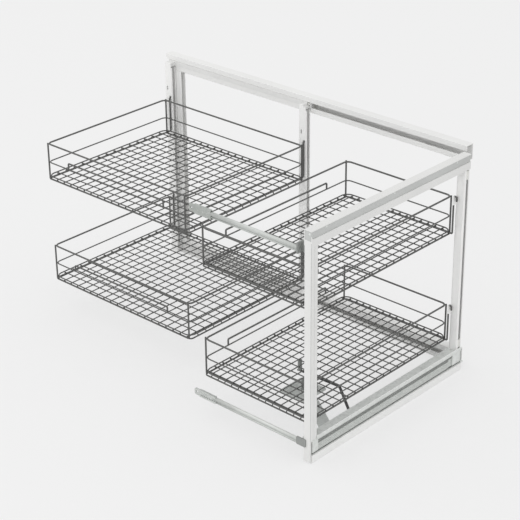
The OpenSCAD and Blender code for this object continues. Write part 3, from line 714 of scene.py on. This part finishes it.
def addTeeth(shape, x0, faceY, z, look):
    # pressed teeth along the face, in the second finish
    before = len(shape.faces)
    pitch = sleeveLook["length"] / (look["teeth"] + toothLook["spare"])
    low = z + look["toothLevel"] - look["toothHalf"]
    high = z + look["toothLevel"] + look["toothHalf"]
    outline = [Vector((0, y, height)) for y, height in (
        (faceY - toothLook["rise"], low), (faceY + toothLook["sunk"], low),
        (faceY + toothLook["sunk"], high), (faceY - toothLook["rise"], high))]
    for i in range(look["teeth"]):
        x = x0 + (i + toothLook["first"]) * pitch
        extrudeOutline(shape, outline, Vector((x, 0, 0)), Vector((toothLook["width"], 0, 0)))
    shape.faces.ensure_lookup_table()
    for face in shape.faces[before:]:
        face.material_index = 1


def makeSleeve(level, eyeX, armBox, sleeveBox, look):
    z = (armBox[0][2] + armBox[1][2]) / 2
    faceY = sleeveBox[0][1] + toothLook["rise"]
    x0 = eyeX + sleeveLook["fromEye"]
    x1 = x0 + sleeveLook["length"]
    shape = bmesh.new()
    addTube(shape, x0, x1, faceY, sleeveBox[1][1], z - look["half"], z + look["half"],
            sleeveLook["wall"])
    addEyeTab(shape, eyeX, z, x0 + eyeLook["root"], look["eyeHalf"], armBox)
    addTeeth(shape, x0, faceY, z, look)
    finishShape(shape, sharpAngle=30)
    sleeve = newPiece("pressed_sleeve_%s" % level, shape, look["finish"], "front_unit")
    sleeve.data.materials.append(finishes[look["toothFinish"]])
    bevelEdges(sleeve, sleeveLook["edge"])
    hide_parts("door_sleeve_%s" % level)


for level, look in doorArmLooks.items():
    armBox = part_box("door_arm_%s" % level)
    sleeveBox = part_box("door_sleeve_%s" % level)
    eyeX = sleeveBox[0][0] + sleeveLook["eyeFromEnd"]
    makeBar(level, eyeX, armBox, look["barFinish"])
    makeSleeve(level, eyeX, armBox, sleeveBox, look)
print("door arms made")

# fasteners: domed heads on the base strip, the plates and the door brackets

headLook = {"rings": 4, "sides": 20, "skirt": 0.1 * mm}
topHeadLooks = {
    "strip_screws": {
        "on": "base_strip", "body": "base", "radius": 3.6 * mm, "rise": 1.6 * mm,
        "x": (4 * mm,), "y": (35 * mm, 460 * mm), "sunk": 0.4 * mm},
    "plate_rivets": {
        "on": "frame_floor_plate", "body": "front_unit", "radius": 2.6 * mm, "rise": 1.0 * mm,
        "x": (14 * mm,), "shares": (0.09, 0.16, 0.5, 0.9), "sunk": 0.0},
    "hub_rivets": {
        "on": "outrigger_hub", "body": "front_unit", "radius": 2.6 * mm, "rise": 1.0 * mm,
        "x": (12 * mm, 60 * mm), "y": (12 * mm, 61 * mm), "sunk": 0.0},
}
bracketBoltLooks = {
    "upper": {"axis": (1, 0, 0), "x": 3 * mm, "y": 9 * mm, "offCentre": 6 * mm},
    "lower": {"axis": (0, -1, 0), "x": 19 * mm, "y": 0.0, "offCentre": 4.5 * mm},
}
bracketBoltSize = {"radius": 2.2 * mm, "rise": 1.0 * mm}


def domeHead(shape, centre, axis, radius, rise):
    # rings down a ball from its top, and a short skirt that closes it
    turn = Vector((0, 0, 1)).rotation_difference(Vector(axis)).to_matrix()
    ballRadius = (radius * radius + rise * rise) / (2 * rise)
    rimLean = math.asin(radius / ballRadius)
    top = shape.verts.new(centre + turn @ Vector((0, 0, rise)))
    rings = []
    for k in range(1, headLook["rings"] + 1):
        lean = rimLean * k / headLook["rings"]
        height = ballRadius * math.cos(lean) - (ballRadius - rise)
        rings.append([shape.verts.new(centre + turn @ Vector((x, y, height)))
                      for x, y in circlePoints(ballRadius * math.sin(lean), headLook["sides"])])
    down = turn @ Vector((0, 0, headLook["skirt"]))
    rings.append([shape.verts.new(corner.co - down) for corner in rings[-1]])
    for i in range(headLook["sides"]):
        shape.faces.new((top, rings[0][i], rings[0][(i + 1) % headLook["sides"]]))
    for upper, lower in zip(rings, rings[1:]):
        bridgeRings(shape, lower, upper)
    shape.faces.new(list(reversed(rings[-1])))


def makeHeads(name, spots, axis, look, finish, body):
    shape = bmesh.new()
    for spot in spots:
        domeHead(shape, Vector(spot), axis, look["radius"], look["rise"])
    finishShape(shape, sharpAngle=50)
    newPiece(name, shape, finish, body)


for name, look in topHeadLooks.items():
    low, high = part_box(look["on"])
    length = high[1] - low[1]
    alongY = [share * length for share in look["shares"]] if "shares" in look else look["y"]
    spots = [(low[0] + x, low[1] + y, high[2] - look["sunk"]) for y in alongY for x in look["x"]]
    makeHeads(name, spots, (0, 0, 1), look, "shaftSteel", look["body"])
for level, look in bracketBoltLooks.items():
    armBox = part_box("door_arm_%s" % level)
    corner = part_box("door_bracket_%s" % level)[0]
    z = (armBox[0][2] + armBox[1][2]) / 2
    spots = [(corner[0] + look["x"], corner[1] + look["y"], z + side * look["offCentre"])
             for side in (-1, 1)]
    makeHeads("bracket_bolts_%s" % level, spots, look["axis"], bracketBoltSize, "bracketGrey",
              "front_unit")
print("fasteners made")

# rolled beads along the closed side of the runner's inner member, and above them a dark strip:
# painted shadow of the gap under the lip

beadLook = {
    "levels": (-9.0 * mm, -4.5 * mm, 0.0, 4.5 * mm), "radius": 0.9 * mm, "steps": 6,
    "sunk": 0.2 * mm, "fromFront": 20 * mm, "fromBack": 40 * mm,
}
lipShadowLook = {"height": 3.2 * mm, "proud": 0.3 * mm, "belowTop": 0.5 * mm}


def extrudeAlongRunner(shape, inner, outline):
    # outline in X and Z
    start = Vector((0, inner[0][1] + beadLook["fromFront"], 0))
    run = Vector((0, inner[1][1] - beadLook["fromBack"] - start.y, 0))
    extrudeOutline(shape, [Vector((x, 0, z)) for x, z in outline], start, run)


def makeBeads(inner, look):
    shape = bmesh.new()
    side = inner[1][0]
    middle = (inner[0][2] + inner[1][2]) / 2
    for level in look["levels"]:
        z = middle + level
        outline = [(side - look["sunk"], z - look["radius"])]
        outline += arcPoints((side, z), look["radius"], -90, 90, look["steps"])
        outline.append((side - look["sunk"], z + look["radius"]))
        extrudeAlongRunner(shape, inner, outline)
    finishShape(shape, sharpAngle=40)
    newPiece("runner_beads", shape, "runnerZinc", "carriage")


# a dark strip along the runner's top: painted shadow under the lip
def makeLipShadow(inner, look):
    shape = bmesh.new()
    back, front = inner[1][0] - beadLook["sunk"], inner[1][0] + look["proud"]
    top = inner[1][2] - look["belowTop"]
    extrudeAlongRunner(shape, inner, rectangle(back, front, top - look["height"], top))
    bmesh.ops.recalc_face_normals(shape, faces=shape.faces)
    newPiece("runner_lip_shadow", shape, "darkZincAndShade", "carriage")


makeBeads(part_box("runner_inner"), beadLook)
makeLipShadow(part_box("runner_inner"), lipShadowLook)
print("runner beads made")

# a grey line down the front upright's corner: painted shade standing for the edge of its folded
# profile

cornerShadeLook = {
    "share": 0.93,  # of the upright's width
    "width": 1.5 * mm, "crest": 0.5, "proud": 0.3 * mm, "sunk": 0.2 * mm,
    "foot": 2 * mm, "head": 3 * mm,
}


def makeCornerShade(upright, look):
    shape = bmesh.new()
    x = upright[0][0] + look["share"] * (upright[1][0] - upright[0][0])
    front, back = upright[0][1] - look["proud"], upright[0][1] + look["sunk"]
    foot, head = upright[0][2] + look["foot"], upright[1][2] - look["head"]
    half = look["width"] / 2
    crest = half * look["crest"]
    outline = [Vector((x - half, back, 0)), Vector((x - crest, front, 0)),
               Vector((x + crest, front, 0)), Vector((x + half, back, 0))]
    extrudeOutline(shape, outline, Vector((0, 0, foot)), Vector((0, 0, head - foot)))
    finishShape(shape, sharpAngle=20)
    newPiece("upright_corner_shade", shape, "recessShadeGrey", "front_unit")


makeCornerShade(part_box("frame_front_upright"), cornerShadeLook)
print("seam made")

# floor, backdrop and light

backgroundGrey = (0.871, 0.871, 0.871)
floorLook = {
    "size": 14.0, "level": -0.2 * mm, "colour": (0.875, 0.875, 0.875), "rough": 0.9, "gloss": 0.1,
    "shadowLift": 0.72,
}


# a ray that shows the background: seen straight, in a reflection or through glass
def backgroundRay(tree):
    rays = tree.nodes.new("ShaderNodeLightPath")
    mirrored = addNode(tree, "ShaderNodeMath", operation="MAXIMUM")
    anySeen = addNode(tree, "ShaderNodeMath", operation="MAXIMUM")
    tree.links.new(rays.outputs["Is Glossy Ray"], mirrored.inputs[0])
    tree.links.new(rays.outputs["Is Transmission Ray"], mirrored.inputs[1])
    tree.links.new(rays.outputs["Is Camera Ray"], anySeen.inputs[0])
    tree.links.new(mirrored.outputs[0], anySeen.inputs[1])
    return anySeen.outputs[0]


# pale floor whose shadows are lifted toward the background
def floorMaterial(look):
    material, tree, shader = newMaterial("floorPale")
    shader.inputs["Base Color"].default_value = (*look["colour"], 1)
    shader.inputs["Roughness"].default_value = look["rough"]
    shader.inputs["Specular IOR Level"].default_value = look["gloss"]
    glow = addNode(tree, "ShaderNodeEmission", {"Color": (*backgroundGrey, 1), "Strength": 1.0})
    share = addNode(tree, "ShaderNodeMath", {1: look["shadowLift"]}, operation="MULTIPLY")
    mix = tree.nodes.new("ShaderNodeMixShader")
    out = next(node for node in tree.nodes if node.type == "OUTPUT_MATERIAL")
    tree.links.new(backgroundRay(tree), share.inputs[0])
    tree.links.new(share.outputs[0], mix.inputs["Fac"])
    tree.links.new(shader.outputs["BSDF"], mix.inputs[1])
    tree.links.new(glow.outputs[0], mix.inputs[2])
    tree.links.new(mix.outputs[0], out.inputs["Surface"])
    return material


def makeFloor(look):
    half = look["size"] / 2
    shape = bmesh.new()
    shape.faces.new([shape.verts.new((x, y, look["level"]))
                     for x, y in rectangle(-half, half, -half, half)])
    mesh = bpy.data.meshes.new("studioFloor")
    shape.to_mesh(mesh)
    shape.free()
    floor = bpy.data.objects.new("studioFloor", mesh)
    scene.collection.objects.link(floor)
    mesh.materials.append(floorMaterial(look))


skyLook = {"strength": 0.95, "light": (1, 1, 1)}


def makeSky(look):
    world = bpy.data.worlds.new("studioSky")
    world.use_nodes = True
    scene.world = world
    tree = world.node_tree
    tree.nodes.clear()
    seen = addNode(tree, "ShaderNodeBackground", {"Color": (*backgroundGrey, 1), "Strength": 1.0})
    light = addNode(tree, "ShaderNodeBackground", {
        "Color": (*look["light"], 1), "Strength": look["strength"]})
    mix = tree.nodes.new("ShaderNodeMixShader")
    out = tree.nodes.new("ShaderNodeOutputWorld")
    link = tree.links.new
    link(backgroundRay(tree), mix.inputs["Fac"])
    link(light.outputs[0], mix.inputs[1])
    link(seen.outputs[0], mix.inputs[2])
    link(mix.outputs[0], out.inputs["Surface"])


lampTarget = (0, 0, 0.25)
lampLooks = {
    "keyLamp": {"place": (-2.6, -0.6, 3.6), "size": 3.0, "watts": 12.0},
    "fillLamp": {"place": (0.7, -3.2, 1.5), "size": 3.0, "watts": 16.0},
}


def makeLamps(looks):
    for name, look in looks.items():
        lamp = bpy.data.lights.new(name, "AREA")
        lamp.size = look["size"]
        lamp.energy = look["watts"]
        holder = bpy.data.objects.new(name, lamp)
        holder.location = look["place"]
        aim = Vector(lampTarget) - Vector(look["place"])
        holder.rotation_mode = "QUATERNION"
        holder.rotation_quaternion = aim.to_track_quat("-Z", "Y")
        scene.collection.objects.link(holder)


makeFloor(floorLook)
makeSky(skyLook)
makeLamps(lampLooks)
scene.view_settings.view_transform = "Standard"
print("floor and light set")
